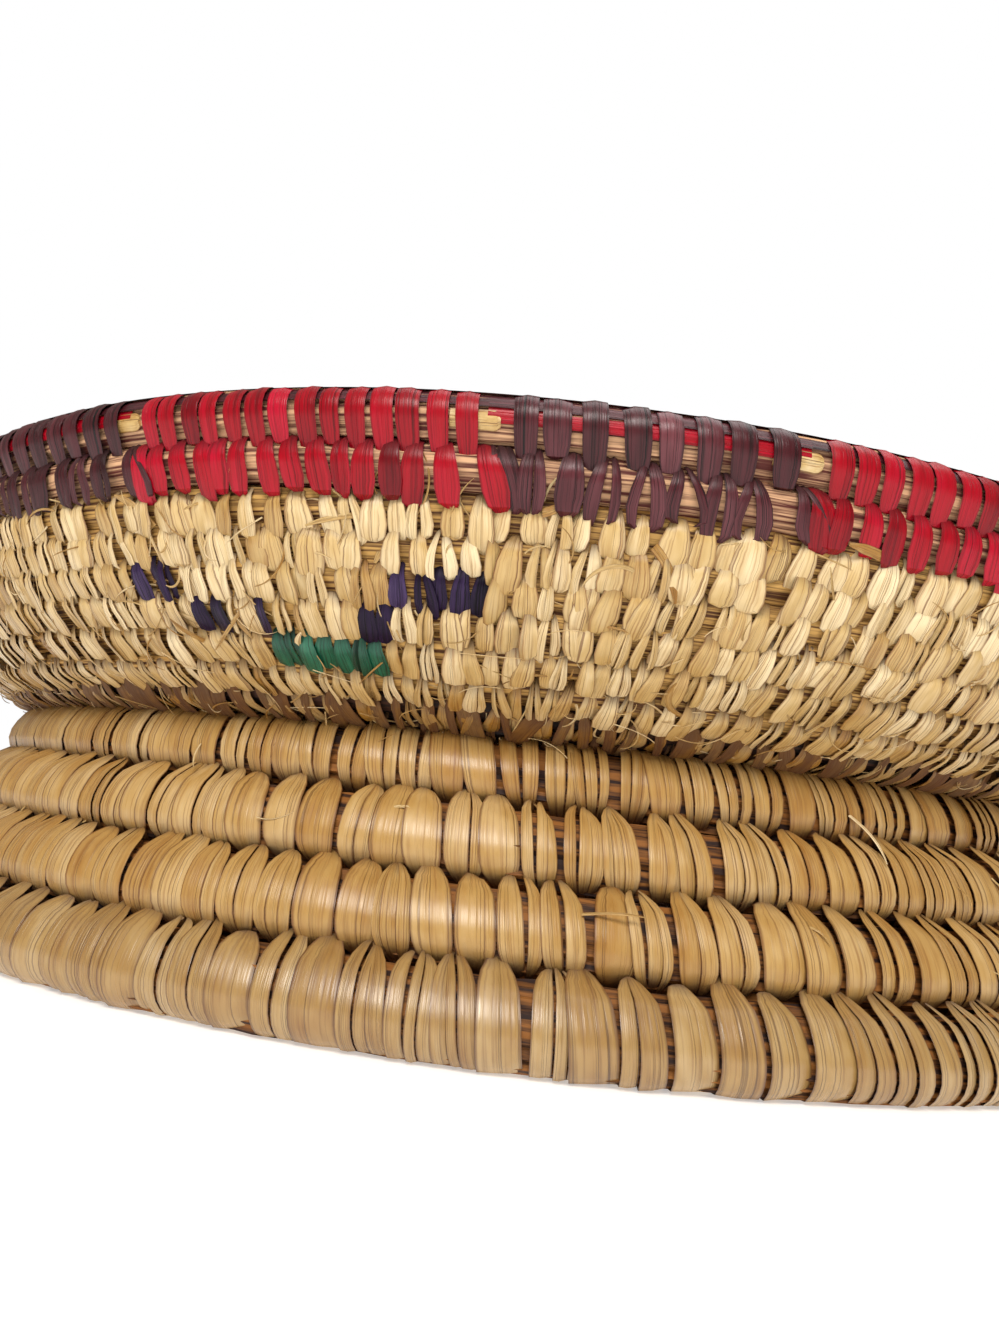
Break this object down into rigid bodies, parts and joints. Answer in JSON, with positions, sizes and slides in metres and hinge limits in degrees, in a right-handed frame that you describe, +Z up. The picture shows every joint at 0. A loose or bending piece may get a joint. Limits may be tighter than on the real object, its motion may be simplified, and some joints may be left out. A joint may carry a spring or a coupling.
{
  "type": "woven basket bowl",
  "caption": "Shallow coiled basket bowl of sewn straw, with a red and plum rim and a small dyed chevron, standing on a flared foot ring of thicker coil.",
  "frame": {"origin": "on the ground, under the middle of the bowl", "axes": "+Z up through the bowl, -Y towards the side that the picture shows"},
  "size_m": [0.3022, 0.302, 0.0843],
  "materials": {
    "grass_core": "dry grass bundle, matt",
    "natural_leaf": "natural palm leaf strip, satin",
    "foot_leaf": "aged palm leaf strip over grass, satin",
    "red_leaf": "red dyed palm leaf strip, satin",
    "plum_leaf": "faded plum dyed palm leaf strip, satin",
    "purple_leaf": "dark purple dyed palm leaf strip, satin",
    "green_leaf": "green dyed palm leaf strip, satin"
  },
  "bodies": {
    "root": {"foot_coil": "foot_leaf", "start_knot": "natural_leaf", "bowl_floor_coil": "grass_core", "bowl_wall_coil": "grass_core", "rim_coil": "grass_core", "rim_wrap_plum_1": "plum_leaf", "rim_wrap_plum_2": "plum_leaf", "rim_wrap_plum_3": "plum_leaf", "rim_wrap_plum_4": "plum_leaf", "rim_wrap_plum_5": "plum_leaf", "rim_wrap_plum_6": "plum_leaf", "rim_wrap_plum_7": "plum_leaf", "rim_wrap_plum_8": "plum_leaf", "rim_wrap_plum_9": "plum_leaf", "rim_wrap_red_1": "red_leaf", "rim_wrap_red_2": "red_leaf", "rim_wrap_red_3": "red_leaf", "rim_wrap_red_4": "red_leaf", "rim_wrap_red_5": "red_leaf", "rim_wrap_red_6": "red_leaf", "rim_wrap_red_7": "red_leaf", "rim_wrap_red_8": "red_leaf", "rim_wrap_red_9": "red_leaf", "lashing_1": "natural_leaf", "lashing_2": "natural_leaf", "lashing_3": "natural_leaf", "lashing_4": "natural_leaf", "lashing_5": "natural_leaf", "lashing_6": "natural_leaf", "lashing_7": "natural_leaf", "lashing_8": "natural_leaf", "lashing_9": "natural_leaf", "lashing_10": "natural_leaf", "lashing_11": "natural_leaf", "lashing_12": "natural_leaf", "lashing_13": "natural_leaf", "lashing_14": "natural_leaf", "lashing_15": "natural_leaf", "lashing_16": "natural_leaf", "lashing_17": "natural_leaf", "lashing_18": "natural_leaf", "lashing_19": "natural_leaf", "lashing_20": "natural_leaf"}
  },
  "joints": []
}
